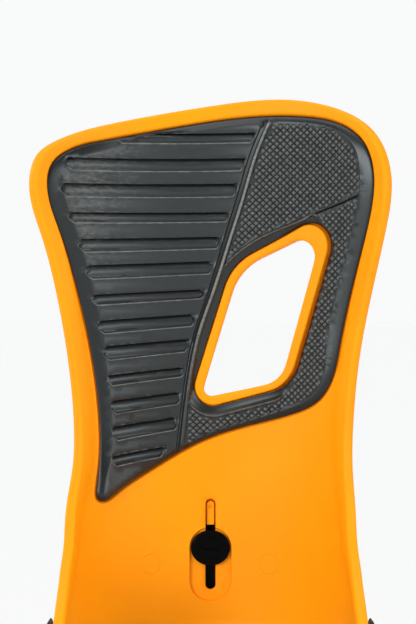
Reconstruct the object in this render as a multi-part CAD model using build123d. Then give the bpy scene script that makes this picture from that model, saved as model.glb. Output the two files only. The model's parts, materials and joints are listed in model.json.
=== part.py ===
from build123d import *

# Highback of a snowboard binding, hinged on its heel cup, with a forward-lean adjuster.
# Millimetres. +Z up, -Y towards the toes, +X to the right seen from the boot.
# The origin is the centre of the footprint, on the plane that the heel cup stands on.
# The highback is a curved shell. Its front is described by unrolled coordinates: s, the arc
# length round the shell from its spine, and z, the height. h is the height above the front face,
# towards the boot.
import os
from math import cos, radians, sin

os.makedirs("parts", exist_ok=True)

# Shell surface
PIVOT_Z = 64.0
SPINE_Y = 60.0          # front face at the spine, at the height of the pivot
SPINE_LEAN = 26.0       # how far the spine leans forward over its height ...
SPINE_FLARE = 8.0       # ... less how far it curves back again
SPINE_HEIGHT = 231.0
WRAP_LOW, WRAP_HIGH = 57.0, 100.0     # radius round the heel, and round the calf
WRAP_Z_LOW, WRAP_Z_HIGH = 80.0, 250.0
WRAP_ANGLE = radians(83)              # the wings run straight on from here
WING_LENGTH = 48.0
SECTION_HEIGHTS = [35 + 15 * i for i in range(19)]
SHELL = 3.5             # wall of the shell
RIM = 1.2               # raised rim round the edge
RIM_WIDTH = 6.3
LIP = 2.2               # raised lip round the window
PAD_LOW, PAD_HIGH = 0.1, 3.0
PAD_GAP = 0.5
REACH = 120.0           # half length of a cutting prism

# Outline of the shell in (s, z), from the left waist over the top to the right waist
OUTLINE = [
    (-71.5, 120), (-63.8, 139.3), (-61.5, 160), (-62.8, 181.5), (-67.3, 209), (-75.1, 236.1),
    (-80.9, 255), (-77.8, 267.5), (-67.3, 274.9), (-38, 283.9), (0, 291), (30.7, 293.3),
    (57.2, 287.6), (72.7, 277.3), (80.6, 259), (78.1, 238.5), (71.2, 210.6), (65.9, 180.8),
    (64.8, 160), (66.2, 139.4), (71.5, 120),
]
FLARE = (67, 107)       # (x, z) of a point outside the shell, below which the wing's edge takes over
# Front and lower edge of both wings in the side view (y, z), from the waist round the pivot lobe
WING_EDGE = [
    (6, 165), (16.5, 145), (19.6, 128), (12.8, 107), (3.5, 97), (-8, 87), (-15, 77), (-17, 64),
    (-12.5, 52.5), (-1, 47.5), (12, 49.5), (26, 55.5), (48, 60.5), (90, 62),
]
# Outline of the calf pad in (s, z)
PAD_OUTLINE = [
    (15.9, 286.2), (-14.6, 282), (-46.1, 275.8), (-65, 270), (-72.6, 263), (-73.8, 255.5),
    (-68.2, 238.7), (-61.1, 218.9), (-55.8, 199), (-52, 178.9), (-50.2, 158.8), (-50.7, 144),
    (-53.4, 131), (-53.4, 125.9), (-50.6, 124.4), (-42.8, 127.2), (-25.4, 137.1), (-4.5, 148.4),
    (16.1, 155.4), (37.5, 161.3), (48.8, 167.1), (54.5, 176.5), (57.5, 189), (61.8, 209),
    (67.3, 228.8), (72.3, 247.5), (73.2, 260), (69.0, 272.3), (58.6, 280.8), (41.9, 285.4),
]
# Corners (s, z, radius) of the window and of the lip round it
WINDOW = [(50.0, 240.1, 7.0), (31.0, 174.7, 13), (-4.3, 167.0, 3.3), (12.3, 222.3, 24)]
WINDOW_LIP = [(58.9, 249.4, 9.2), (35.6, 173, 17), (-10.8, 161.0, 8), (9.3, 224.2, 24)]
# Studs (s, z) that hold the calf pad to the shell
PAD_STUDS = [(-64, 251), (14, 272), (61, 262), (57, 215), (-42, 193), (-44, 135), (24, 162.5)]
STUD_TIP = 1.6          # how far a stud enters the pad

# Heel cup
CUP_RADIUS, CUP_WALL = 64.2, 4.4
CUP_CENTRE_Y = 8.0
CUP_FRONT_Y = -(CUP_CENTRE_Y + CUP_RADIUS + CUP_WALL)
CUP_REAR_Z = 84.0
LEDGE_RADIUS, LEDGE_Z = 60.5, 76.0    # ledge inside the rear edge, under the bumper
BUMPER = 2.0
BUMPER_WIDTH = 48.0
LOBE_RADIUS = 18.0
BASE_BOLTS = [(-58, 14), (-26, 14)]   # (y, z) on each arm
BOLT_HOLE = 3.1
STRAP_Y, STRAP_Z = -27.0, 43.0
CUP_OUTER = CUP_RADIUS + CUP_WALL
HEEL_OPENING, HEEL_OPENING_Z = (54, 29), 47.0
LIGHTENING = (27, 13)   # slot in each arm

# Pivot hardware, as distances from the middle plane
BOSS_IN, BOSS_OUT, BOSS_RADIUS = 56.5, 62.6, 11.0
SLEEVE, SCREW, THREAD = 4.0, 2.45, 2.5
RUNNING = 0.05

# Lean adjuster, in its own frame: x across, y up the spine, z out of the back of the shell
BOLT_Z = 102.8
TRAVEL = 13.8
CAP_WIDTH, CAP_HEIGHT = 16.8, 15.2
RECESS_WIDTH, RECESS_FLOOR = 17.4, 1.2
SLOT_WIDTH, SLOT_TOP, SLOT_END = 4.2, 19.2, 16.2
PLATE_Z = 4.7           # front of the sliding block
BLOCK_Z = 9.5           # seat of the wear plate
BLOCK_TOP = 8.7         # upper edge of the block, just under the lever's blade
LUG_END = 20.4          # the lugs reach back this far, over the heel cup's edge
LUG_Y = -3.4            # underside of the lugs
PIN_Z, PIN_RADIUS = 13.5, 1.5
CAM_RADIUS = 3.15
LEVER_INNER = 5.6
LEVER_LOW = BLOCK_TOP + 1.0           # lower edge of the lever's blade
TONGUE_WIDTH, TONGUE_TOP, TONGUE_FACE = 3.1, 18.4, 2.3
DIMPLE = 0.9            # radius of the dimple in the tongue's end


def wrap_radius(z):
    """Radius of the shell's front face at height z."""
    t = min(max((z - WRAP_Z_LOW) / (WRAP_Z_HIGH - WRAP_Z_LOW), 0), 1)
    return WRAP_LOW + (WRAP_HIGH - WRAP_LOW) * t * t * (3 - 2 * t)


def spine_y(z):
    """Front face at the spine."""
    u = (z - PIVOT_Z) / SPINE_HEIGHT
    return SPINE_Y - SPINE_LEAN * u + SPINE_FLARE * u * u


def section_edges(z, h):
    """One curve of a horizontal section, from the left wing's end to the right one's."""
    r = wrap_radius(z) - h
    centre_y = spine_y(z) - wrap_radius(z)
    bend = Vector(r * sin(WRAP_ANGLE), centre_y + r * cos(WRAP_ANGLE), z)
    tip = bend + Vector(cos(WRAP_ANGLE), -sin(WRAP_ANGLE), 0) * WING_LENGTH
    mirror_x = lambda p: Vector(-p.X, p.Y, p.Z)
    back = Vector(0, centre_y + r, z)
    edges = [
        Line(mirror_x(tip), mirror_x(bend)),
        ThreePointArc(mirror_x(bend), back, bend),
        Line(bend, tip),
    ]
    return edges, mirror_x(tip), tip


def band(h_back, h_front):
    """The shell's surface thickened from h_back to h_front, before any outline is cut."""
    wires = []
    for z in SECTION_HEIGHTS:
        back, back_left, back_right = section_edges(z, h_back)
        front, front_left, front_right = section_edges(z, h_front)
        ends = [Line(back_left, front_left), Line(back_right, front_right)]
        wires.append(Wire([line.edge() for line in back + front + ends]))
    return Solid.make_loft(wires)


def front_x(s, z, h=0.0):
    """x in the front view of the point s, z on the surface at height h."""
    return (wrap_radius(z) - h) * sin(s / wrap_radius(z))


def prism(wire, direction):
    """Solid swept from a flat wire, both ways along a direction."""
    face = Face(wire).moved(Location(direction * -REACH))
    return Solid.extrude(face, direction * (2 * REACH))


def front_view(points, h=0.0):
    return [Vector(front_x(s, z, h), 0, z) for s, z in points]


def closed_spline_prism(points, h=0.0):
    """Prism along Y of a smooth closed outline given in (s, z)."""
    spline = Edge.make_spline(front_view(points, h), periodic=True)
    return prism(Wire([spline]), Vector(0, 1, 0))


def rounded_prism(corners, h=0.0, grow=0.0):
    """Prism along Y of a polygon given as (s, z, radius), grown outwards."""
    points = front_view([(s, z) for s, z, _ in corners], h)
    radii = [radius for _, _, radius in corners]
    path = FilletPolyline(*points, radius=radii, close=True)
    wire = Wire(path.edges())
    if grow:
        wire = wire.offset_2d(grow)
    return prism(wire, Vector(0, 1, 0))


def inset(points, distance):
    """Points moved to the inner side of an open run that goes over the top, left to right."""
    moved = []
    for i, (s, z) in enumerate(points):
        before, after = points[max(i - 1, 0)], points[min(i + 1, len(points) - 1)]
        along = Vector(after[0] - before[0], after[1] - before[1], 0).normalized()
        moved.append((s + along.Y * distance, z - along.X * distance))
    return moved


def over_top_prism(points, h):
    """Prism along Y, bounded above by an open run over the top and wide open below its ends."""
    run = front_view(points, h)
    spline = Edge.make_spline(run)
    flare_x, flare_z = FLARE
    below = [
        Vector(flare_x, 0, flare_z), Vector(REACH, 0, flare_z - 10), Vector(REACH, 0, 20),
    ]
    mirrored = [Vector(-p.X, 0, p.Z) for p in reversed(below)]
    corners = [run[-1]] + below + mirrored + [run[0]]
    lines = [Edge.make_line(a, b) for a, b in zip(corners, corners[1:])]
    return prism(Wire([spline] + lines), Vector(0, 1, 0))


def wing_prism():
    """Prism along X that keeps the wings behind their front edge, and all of the upper shell."""
    run = [Vector(0, y, z) for y, z in WING_EDGE]
    above, front, behind = SECTION_HEIGHTS[-1] + 20, -80, 130
    corners = [
        run[-1], Vector(0, behind, run[-1].Z), Vector(0, behind, above),
        Vector(0, front, above), Vector(0, front, run[0].Z + 5), run[0],
    ]
    lines = [Edge.make_line(a, b) for a, b in zip(corners, corners[1:])]
    return prism(Wire([Edge.make_spline(run)] + lines), Vector(1, 0, 0))


def across(x_from, x_to, radius, y=0.0, z=PIVOT_Z):
    """Cylinder along X between two distances from the middle plane."""
    face = Plane(origin=(x_from, y, z), z_dir=(1, 0, 0)) * Circle(radius)
    return extrude(face, x_to - x_from)


def both_sides(shape):
    return {"right": shape, "left": mirror(shape, Plane.YZ)}


def lean_plane():
    """Frame of the lean adjuster: on the front face at the spine, out through the back."""
    step = 1.0
    slope = (spine_y(BOLT_Z + step) - spine_y(BOLT_Z - step)) / (2 * step)
    out = Vector(0, 1, -slope).normalized()
    return Plane(origin=(0, spine_y(BOLT_Z), BOLT_Z), x_dir=(-1, 0, 0), z_dir=out)


LEAN = lean_plane()


def surface_plane(s, z):
    """Frame on the front face at (s, z), with its z axis out through the back."""
    def point(s_at, z_at):
        r = wrap_radius(z_at)
        return Vector(r * sin(s_at / r), spine_y(z_at) - r + r * cos(s_at / r), z_at)

    up = point(s, z + 1) - point(s, z - 1)
    across = point(s + 1, z) - point(s - 1, z)
    return Plane(origin=point(s, z), x_dir=up, z_dir=up.cross(across))


def block(x, y, z):
    """Box between (low, high) pairs."""
    size = [high - low for low, high in (x, y, z)]
    centre = [(high + low) / 2 for low, high in (x, y, z)]
    return Pos(*centre) * Box(*size)


def disc(radius, low, high, x=0.0, y=0.0):
    """Cylinder along the local z axis between two heights."""
    return Pos(x, y, (low + high) / 2) * Cylinder(radius, high - low)


def stadium(width, y_low, y_high, z_low, z_high):
    """Round-ended slot along y whose end centres are y_low and y_high."""
    shape = SlotCenterToCenter(y_high - y_low, width, rotation=90)
    return Pos(0, (y_low + y_high) / 2, z_low) * extrude(shape, z_high - z_low)


def highback_shell():
    """Moulded shell: wall, raised rim, window with its lip, adjuster slot and pivot bosses."""
    outline = over_top_prism(OUTLINE, -2.5)
    lip = rounded_prism(WINDOW_LIP)
    wall = band(-SHELL, LIP) & outline & wing_prism()
    face = over_top_prism(inset(OUTLINE, RIM_WIDTH), 0)
    wall = wall - ((band(0, 12) & face) - lip)
    wall = wall - (band(RIM, 12) - lip)
    wall = wall - rounded_prism(WINDOW)
    for boss in both_sides(across(BOSS_IN, BOSS_OUT, BOSS_RADIUS)).values():
        wall = wall + boss
    for bore in both_sides(across(40, 80, 5.6)).values():
        wall = wall - bore
    wall = wall - LEAN * stadium(RECESS_WIDTH, -TRAVEL - 0.6, 0, -10, RECESS_FLOOR)
    wall = wall - LEAN * stadium(SLOT_WIDTH, -SLOT_END, SLOT_TOP, -10, 10)
    for s, z in PAD_STUDS:
        wall = wall - surface_plane(s, z) * disc(2.1, -1, 12)
    return wall


def calf_pad():
    """Moulded foam pad inside the rim, with a hole round the window's lip."""
    pad = band(PAD_LOW, PAD_HIGH) & closed_spline_prism(PAD_OUTLINE)
    pad = pad & over_top_prism(inset(OUTLINE, RIM_WIDTH + PAD_GAP), 0)
    pad = pad - rounded_prism(WINDOW_LIP, grow=PAD_GAP)
    for s, z in PAD_STUDS:
        pad = pad - surface_plane(s, z) * disc(2.1, -STUD_TIP - 0.1, 1)
    return pad


def pad_studs():
    """Push-in studs that hold the calf pad from the back of the shell."""
    return [
        surface_plane(s, z) * (disc(2.0, -STUD_TIP, SHELL + 1) + disc(4.2, SHELL + 0.1, SHELL + 1.4))
        for s, z in PAD_STUDS
    ]


def lean_rack(shell):
    """Serrated strip beside the slot. Its foot follows the back of the shell."""
    pitch, low, high = 1.5, -20.0, 13.0
    strip = block((4.8, 11.8), (low, high), (1.8, 3.9))
    count = int((high - low) / pitch)
    profile = [(-0.55, 0), (0.55, 0), (0.2, 0.6), (-0.2, 0.6)]
    for i in range(count):
        y = low + pitch * (i + 0.5)
        points = [(4.8, y + dy, 3.9 + dz) for dy, dz in profile]
        tooth = Solid.extrude(Face(Wire.make_polygon(points, close=True)), Vector(7, 0, 0))
        strip = strip + tooth
    return (LEAN * strip) - shell


def lean_cap():
    """Oval head of the adjuster's bolt, on the boot side, sunk in the shell's recess."""
    oval = extrude(Ellipse(CAP_WIDTH / 2, CAP_HEIGHT / 2), 2.4)
    oval = Pos(0, 0, -1.3) * oval
    front = oval.edges().sort_by(Axis.Z)[0]
    oval = fillet([front], 0.8)
    ring = Pos(0, 0, -1.3) * (Cylinder(5.0, 0.5) - Cylinder(4.4, 0.5))
    slot = block((-3.2, 3.2), (-0.7, 0.7), (-2, -0.6))
    return LEAN * (oval - disc(5.05, 0.1, 2) - ring - slot)


def lean_bolt():
    """Flat head inside the cap, shank through the slot, and an eye for the lever's pin."""
    shank = disc(5.0, 0.1, 1.1) + disc(1.95, 1.1, PIN_Z - 1)
    eye = Pos(0, 0, PIN_Z) * (Rot(0, 90, 0) * Cylinder(3.1, 6.6))
    hole = Pos(0, 0, PIN_Z) * (Rot(0, 90, 0) * Cylinder(PIN_RADIUS + RUNNING, 20))
    return LEAN * (shank + eye - hole)


def lean_block():
    """Slider on the back of the shell. Its two lugs come down on the heel cup."""
    body = block((-15, 15), (-4, BLOCK_TOP), (PLATE_Z, BLOCK_Z))
    tail = stadium(24, -8.5, -4, PLATE_Z, PLATE_Z + 1.7)
    lug_side = [
        (LUG_Y, PLATE_Z), (LUG_Y, LUG_END), (0, LUG_END), (4, LUG_END - 2), (BLOCK_TOP, 11),
        (BLOCK_TOP, PLATE_Z),
    ]
    lug_face = Face(Wire.make_polygon([(9.0, y, z) for y, z in lug_side], close=True))
    lug = Solid.extrude(lug_face, Vector(6, 0, 0))
    slider = body + tail + lug + mirror(lug, Plane.YZ)
    outer = [e for e in slider.edges() if e.center().Z > PLATE_Z + 1 and abs(e.center().X) > 14.9]
    slider = fillet(outer, 0.8)
    slider = slider + block((-1.9, 1.9), (2.7, 6.0), (1.7, PLATE_Z + 0.5))
    slider = slider - disc(2.15, 0, 20) - disc(4.4, PLATE_Z - 1, 8.0)
    return LEAN * slider


def lean_spring():
    """Small spring under the block that lifts it off the rack when the lever opens."""
    mean, wire, low, pitch = 3.15, 0.42, 4.15, 1.15
    path = Helix(pitch, 2.9 * pitch, mean)
    section = Plane(origin=path @ 0, z_dir=path % 0) * Circle(wire)
    return LEAN * (Pos(0, 0, low) * sweep(section, path=path))


def wear_plate():
    """Steel plate that the lever's cams press on."""
    plate = block((-8, 8), (-4.6, 4.6), (BLOCK_Z, BLOCK_Z + 0.8))
    return LEAN * (plate - disc(2.3, 0, 20))


def lean_lever():
    """Flip lever: two cams on the pin, a thumb blade, and a tongue that fills the slot's top."""
    outer = [(0, PIN_Z + CAM_RADIUS), (8, 15.2), (17, 11.2), (34, 9.8), (43, 12.6)]
    inner = [(44.2, 11.6), (41, 7.4), (36, LEVER_INNER), (LEVER_LOW, LEVER_INNER), (LEVER_LOW, 10.8),
             (0, 10.8)]
    to_3d = lambda points: [Vector(0, y, z) for y, z in points]
    outer_edge = Edge.make_spline(to_3d(outer))
    run = to_3d([outer[-1]] + inner + [outer[0]])
    lines = [Edge.make_line(a, b) for a, b in zip(run, run[1:])]
    face = Face(Wire([outer_edge] + lines))
    blade = Solid.extrude(face.moved(Location((-12.5, 0, 0))), Vector(25, 0, 0))
    waist = block((7, 20), (-10, 10.8), (0, 30))
    blade = blade - waist - mirror(waist, Plane.YZ)
    tip = [e for e in blade.edges() if e.center().Y > 30 and abs(e.center().X) > 12]
    blade = fillet(tip, 1.2)
    cams = Pos(0, 0, PIN_Z) * (Rot(0, 90, 0) * Cylinder(CAM_RADIUS, 14))
    hole = Pos(0, 0, PIN_Z) * (Rot(0, 90, 0) * Cylinder(PIN_RADIUS + RUNNING, 30))
    tongue = stadium(TONGUE_WIDTH, LEVER_LOW + 3, TONGUE_TOP, TONGUE_FACE, LEVER_INNER + 1)
    tongue = tongue + block((-TONGUE_WIDTH / 2, TONGUE_WIDTH / 2), (LEVER_LOW, LEVER_LOW + 4),
                            (TONGUE_FACE, LEVER_INNER + 1))
    dimple = disc(DIMPLE, 0, TONGUE_FACE + 0.6, y=17.6)
    gap = block((-3.5, 3.5), (-8, 5.5), (0, 30))
    return LEAN * (blade + tongue + cams - hole - gap - dimple)


def lever_pin():
    pin = Pos(0, 0, PIN_Z) * (Rot(0, 90, 0) * Cylinder(PIN_RADIUS, 14.4))
    return LEAN * pin


def cup_side_profile():
    """Side view of the heel cup: arm, pivot lobe and rear band, in (y, z)."""
    top = [
        (CUP_FRONT_Y, 0), (CUP_FRONT_Y, 29), (-52, 35), (-16, 66), (19, 64), (42, 72),
        (54, CUP_REAR_Z), (90, CUP_REAR_Z), (90, 17), (56, 13), (38, 0),
    ]
    radii = [2, 10, 14, 12, 12, 14, 10, 0.5, 0.5, 16, 10]
    path = FilletPolyline(*[Vector(0, y, z) for y, z in top], radius=radii, close=True)
    return Wire(path.edges())


def heel_cup():
    """U-shaped hoop round the heel, with a pivot lobe and bolt holes on each arm."""
    with_arms = lambda r: (
        Pos(0, CUP_CENTRE_Y) * Circle(r)
        + Pos(0, (CUP_CENTRE_Y + CUP_FRONT_Y) / 2) * Rectangle(2 * r, CUP_CENTRE_Y - CUP_FRONT_Y)
    )
    toe_end = Pos(0, CUP_FRONT_Y) * Rectangle(2 * CUP_RADIUS, 4)
    plan = with_arms(CUP_OUTER) - with_arms(CUP_RADIUS) - toe_end
    hoop = extrude(plan, 100)
    lobe = across(-90, 90, LOBE_RADIUS)
    side = prism(cup_side_profile(), Vector(1, 0, 0)) + lobe
    hoop = (hoop & side) + heel_ledge()
    opening = extrude(RectangleRounded(*HEEL_OPENING, 10), 60)
    hoop = hoop - Plane(origin=(0, 40, HEEL_OPENING_Z), x_dir=(1, 0, 0), z_dir=(0, 1, 0)) * opening
    for y, z in BASE_BOLTS:
        hoop = hoop - across(-90, 90, BOLT_HOLE, y, z)
    hoop = hoop - across(-90, 90, SLEEVE + RUNNING, STRAP_Y, STRAP_Z)
    hoop = hoop - across(-90, 90, SLEEVE + 0.1)
    side = Plane(origin=(-90, 4, 26), x_dir=(0, 1, 0), z_dir=(1, 0, 0))
    return hoop - extrude(side * SlotOverall(*LIGHTENING), 180)


def rear_sector(inner, outer, low, high, width):
    """Part of a ring round the heel cup's centre line, at the rear, between two heights."""
    ring = disc(outer, low, high) - disc(inner, low, high)
    sector = block((-width / 2, width / 2), (0, 100), (low, high))
    return Pos(0, CUP_CENTRE_Y, 0) * (ring & sector)


def heel_ledge():
    """Thickening inside the rear edge of the heel cup, that carries the bumper."""
    return rear_sector(LEDGE_RADIUS, CUP_RADIUS + 1, LEDGE_Z, CUP_REAR_Z, BUMPER_WIDTH + 4)


def stop_bumper():
    """Rubber strip on the rear edge of the heel cup, where the adjuster's lugs land."""
    top = CUP_REAR_Z + BUMPER
    return rear_sector(LEDGE_RADIUS + 0.6, CUP_OUTER - 0.6, CUP_REAR_Z, top, BUMPER_WIDTH)


def pivot_nut():
    """Flanged sleeve nut, put in from the boot side."""
    flange = across(54.6, 56.2, 9.0)
    return flange + across(56.2, CUP_RADIUS + 2.5, SLEEVE) - across(50, 80, THREAD)


def pivot_bushing():
    return across(BOSS_IN, BOSS_OUT, 5.55) - across(50, 80, SLEEVE + RUNNING)


def pivot_washer():
    low, high = BOSS_OUT + 0.2, CUP_RADIUS - 0.05
    return across(low, high, 9.5) - across(50, 80, SLEEVE + 0.1)


def pivot_bolt():
    """Low dome head with a hexagon socket, and a shank in the sleeve nut."""
    seat = CUP_OUTER + 0.02
    head = across(seat, seat + 2.9, 7.5)
    rim = head.faces().sort_by(Axis.X)[-1].edges()
    head = fillet(rim, 1.6)
    face = Plane(origin=(seat + 1.2, 0, PIVOT_Z), z_dir=(1, 0, 0)) * RegularPolygon(2.3, 6)
    return head + across(55.5, seat, SCREW) - extrude(face, 5)


def strap_nut():
    """Flanged sleeve nut in the arm, where the ankle strap is screwed on."""
    flange = across(CUP_RADIUS - 1.5, CUP_RADIUS, 8.0, STRAP_Y, STRAP_Z)
    sleeve = across(CUP_RADIUS, CUP_OUTER - 0.4, SLEEVE, STRAP_Y, STRAP_Z)
    return flange + sleeve - across(50, 80, THREAD, STRAP_Y, STRAP_Z)


def export(name, shape):
    shapes = shape if isinstance(shape, list) else [shape]
    solids = [solid for one in shapes for solid in one.solids()]
    whole = solids[0] if len(solids) == 1 else Compound(children=solids)
    export_step(whole, f"parts/{name}.step")


shell = highback_shell()
export("highback_shell", shell)
export("calf_pad", calf_pad())
export("pad_studs", pad_studs())
export("lean_cap", lean_cap())
export("lean_bolt", lean_bolt())
export("lean_block", lean_block())
export("lean_spring", lean_spring())
export("lean_wear_plate", wear_plate())
export("lean_lever", lean_lever())
export("lever_pin", lever_pin())
export("heel_cup", heel_cup())
export("stop_bumper", stop_bumper())
for side, rack in both_sides(lean_rack(shell)).items():
    export(f"lean_rack_{side}", rack)
for name, shape in [
    ("pivot_nut", pivot_nut()), ("pivot_bushing", pivot_bushing()),
    ("pivot_washer", pivot_washer()), ("pivot_bolt", pivot_bolt()), ("strap_nut", strap_nut()),
]:
    for side, piece in both_sides(shape).items():
        export(f"{name}_{side}", piece)
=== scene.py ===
import json
import math

import bpy
import bmesh
import numpy as np
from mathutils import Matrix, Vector, kdtree
from mathutils.geometry import delaunay_2d_cdt

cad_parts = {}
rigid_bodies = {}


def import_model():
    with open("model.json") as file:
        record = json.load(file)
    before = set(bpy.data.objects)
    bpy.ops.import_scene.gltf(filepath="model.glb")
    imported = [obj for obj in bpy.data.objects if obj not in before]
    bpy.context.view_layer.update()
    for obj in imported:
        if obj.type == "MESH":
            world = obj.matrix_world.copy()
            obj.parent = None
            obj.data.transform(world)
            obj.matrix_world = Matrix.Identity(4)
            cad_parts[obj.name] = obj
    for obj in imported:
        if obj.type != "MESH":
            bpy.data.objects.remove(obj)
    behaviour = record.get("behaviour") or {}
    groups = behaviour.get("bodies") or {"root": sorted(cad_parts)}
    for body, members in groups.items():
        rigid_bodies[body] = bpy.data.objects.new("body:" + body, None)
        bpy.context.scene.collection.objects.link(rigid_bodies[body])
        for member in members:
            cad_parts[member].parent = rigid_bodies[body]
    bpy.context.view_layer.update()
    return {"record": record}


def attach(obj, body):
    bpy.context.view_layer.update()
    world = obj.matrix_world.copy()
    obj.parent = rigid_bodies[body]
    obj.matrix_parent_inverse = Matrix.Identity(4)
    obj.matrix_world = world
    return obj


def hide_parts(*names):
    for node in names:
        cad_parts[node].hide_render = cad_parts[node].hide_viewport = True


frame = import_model()

# Highback of a snowboard binding. The shell and the calf pad are meshed in unrolled coordinates:
# s, the arc length round the shell from its spine, z, the height, and h, the height above the
# shell's front face, towards the boot. All of them are in millimetres until solid() turns them
# into metres.
MM = 0.001

# The CAD shell's surface
PIVOT_Z = 64.0
SPINE_Y, SPINE_LEAN, SPINE_FLARE, SPINE_HEIGHT = 60.0, 26.0, 8.0, 231.0
WRAP_LOW, WRAP_HIGH, WRAP_Z_LOW, WRAP_Z_HIGH = 57.0, 100.0, 80.0, 250.0
WRAP_ANGLE = math.radians(83)

WALL = 3.5              # back of the shell, below its front face
BACK_SINK = 0.7         # the panel on the shell's back lies this far inside its border
PANEL_Z = 126.0         # and starts at this height
STUDS = [(-64, 251), (14, 272), (61, 262), (57, 215), (-42, 193), (-44, 135), (24, 162.5)]
STUD_BOSS = (5.6, 6.6)  # radii of the top and the foot of the boss round a stud
RIM, RIM_WIDTH = 1.2, 6.4
LIP = 2.2               # height of the window's lip
LIP_SET = 0.9           # the lip's outermost edge is this much lower
LIP_STEP = 0.8          # the gap between the lip and the pad is this much wider on the right
GAP_DEPTH = 1.8         # depth of that gap
WINDOW_LEAN = 0.22      # slope of the window's sides
PAD_FOOT, PAD_EDGE, PAD_TOP = 0.1, 0.25, 3.0
RING_MARKS = [(-26.0, 96.2), (25.4, 96.0)]      # rings that the mould's ejector pins leave
RING_MARK_RADIUS, RING_MARK_DEPTH = 4.3, 0.2

# Outline of the upper shell (s, z), from the left waist over the top to the right waist
OUTLINE = [
    (-71.5, 120), (-63.8, 139.3), (-61.5, 160), (-62.8, 181.5), (-67.3, 209), (-75.1, 236.1),
    (-80.9, 255), (-77.8, 267.5), (-67.3, 274.9), (-38, 283.9), (0, 291), (30.7, 293.3),
    (57.2, 287.6), (72.7, 277.3), (80.6, 259), (78.1, 238.5), (71.2, 210.6), (65.9, 180.8),
    (64.8, 160), (66.2, 139.4), (71.5, 120),
]
# Front and lower edge of a wing in the side view (y, z), down from the waist, round the pivot
WING = [
    (12.8, 107), (3.5, 97), (-8, 87), (-15, 77), (-17, 64), (-12.5, 52.5), (-1, 47.5),
    (12, 49.5), (26, 55.5), (44, 60),
]
HEEL_EDGE_Z = 62.0      # lower edge of the shell at the spine
PAD = [
    (15.9, 286.2), (-14.6, 282), (-46.1, 275.8), (-65, 270), (-72.6, 263), (-73.8, 255.5),
    (-68.2, 238.7), (-61.1, 218.9), (-55.8, 199), (-52, 178.9), (-50.2, 158.8), (-50.7, 144),
    (-53.4, 131), (-53.4, 125.9), (-50.6, 124.4), (-42.8, 127.2), (-25.4, 137.1), (-4.5, 148.4),
    (16.1, 155.4), (37.5, 161.3), (48.8, 167.1), (55.1, 176.4), (58.1, 189), (62.3, 209),
    (67.8, 228.8), (72.8, 247.5), (73.8, 260), (69.5, 272.7), (59.0, 281.3), (41.9, 285.7),
]
# Corners (s, z, radius) of the window and of the lip round it
WINDOW = [(50.0, 240.1, 7.0), (31.0, 174.7, 13), (-4.3, 167.0, 3.3), (12.3, 222.3, 24)]
WINDOW_LIP = [(58.9, 249.4, 9.2), (35.6, 173, 17), (-10.8, 161.0, 8), (9.3, 224.2, 24)]
# Ridge between the ribs and the grained part of the pad, from top to bottom
RIDGE = [(26.3, 284.9), (19.6, 269.6), (14.8, 254.1), (9.7, 238.4), (5.0, 224), (0.3, 210.2),
         (-4.3, 197.5), (-9.0, 176.9), (-12.3, 152), (-13.4, 143.5)]
# Crease that leaves the window's border and runs up to the pad's right edge
CREASE = [(66.5, 251.8), (56.6, 248.3), (47.4, 245.3), (38.4, 241.7), (29.6, 238.5),
          (20, 234.3), (12.4, 229.3), (6.1, 223.4), (1.5, 216.7)]

# Lean adjuster: its bolt's height at rest, the recess round its cap, and the slot
BOLT_Z = 102.8
RECESS_RADIUS, RECESS_DEPTH, RECESS_TRAVEL = 8.7, 1.2, 14.3
RECESS_WALL = (-0.4, 0.22)      # where the recess's wall starts and ends, inwards from its edge
SLOT_RADIUS, SLOT_HIGH, SLOT_LOW = 2.1, 121.9, 86.7
SLOT_CORNER = 2.05

# Pivots: the hole in the wing and the raised pad round it
PIVOT_BORE = 6.1
PIVOT_PAD, PIVOT_PAD_EDGE = 10.6, 11.6
PIVOT_PAD_HEIGHT, PIVOT_PAD_SLOPE = 1.3, 0.122  # the slope sets its face square to the hinge


# ---------------------------------------------------------------- curves in the (s, z) plane
def unit(v):
    return v / np.maximum(np.linalg.norm(v, axis=-1, keepdims=True), 1e-9)


def ramp(x, low, high):
    """0 below low, 1 above high, smooth between."""
    t = np.clip((np.asarray(x, float) - low) / (high - low), 0, 1)
    return t * t * (3 - 2 * t)


def spline(points, step=1.6, closed=False):
    """Points about step apart on the smooth curve through the given ones."""
    p = np.array(points, float)
    if closed:
        p = np.vstack((p, p[:1]))
    gaps = np.linalg.norm(np.diff(p, axis=0), axis=1)
    n = len(p)
    system, right = np.zeros((n, n)), np.zeros((n, 2))
    rates = np.diff(p, axis=0) / (gaps ** 2)[:, None] * 3
    for i in range(n):
        if 0 < i < n - 1 or closed:
            before = (i - 1) % (n - 1)
            after = i % (n - 1)
            system[i, before] += 1 / gaps[before]
            system[i, i] += 2 / gaps[before] + 2 / gaps[after]
            system[i, (after + 1)] += 1 / gaps[after]
            right[i] = rates[before] + rates[after]
        else:
            other = 1 if i == 0 else n - 2
            gap = 0 if i == 0 else n - 2
            system[i, i], system[i, other] = 2 / gaps[gap], 1 / gaps[gap]
            right[i] = rates[gap]
    if closed:                      # the last point is the first one
        system[-1] = 0
        system[-1, 0], system[-1, -1], right[-1] = 1, -1, 0
    slopes = np.linalg.solve(system, right)
    found = []
    for i in range(n - 1):
        count = max(1, round(gaps[i] / step))
        t = (np.arange(count) / count)[:, None]
        h00, h10 = 2 * t ** 3 - 3 * t ** 2 + 1, t ** 3 - 2 * t ** 2 + t
        h01, h11 = -2 * t ** 3 + 3 * t ** 2, t ** 3 - t ** 2
        found.append(h00 * p[i] + h10 * gaps[i] * slopes[i]
                     + h01 * p[i + 1] + h11 * gaps[i] * slopes[i + 1])
    if not closed:
        found.append(p[-1:])
    return np.vstack(found)


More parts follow.
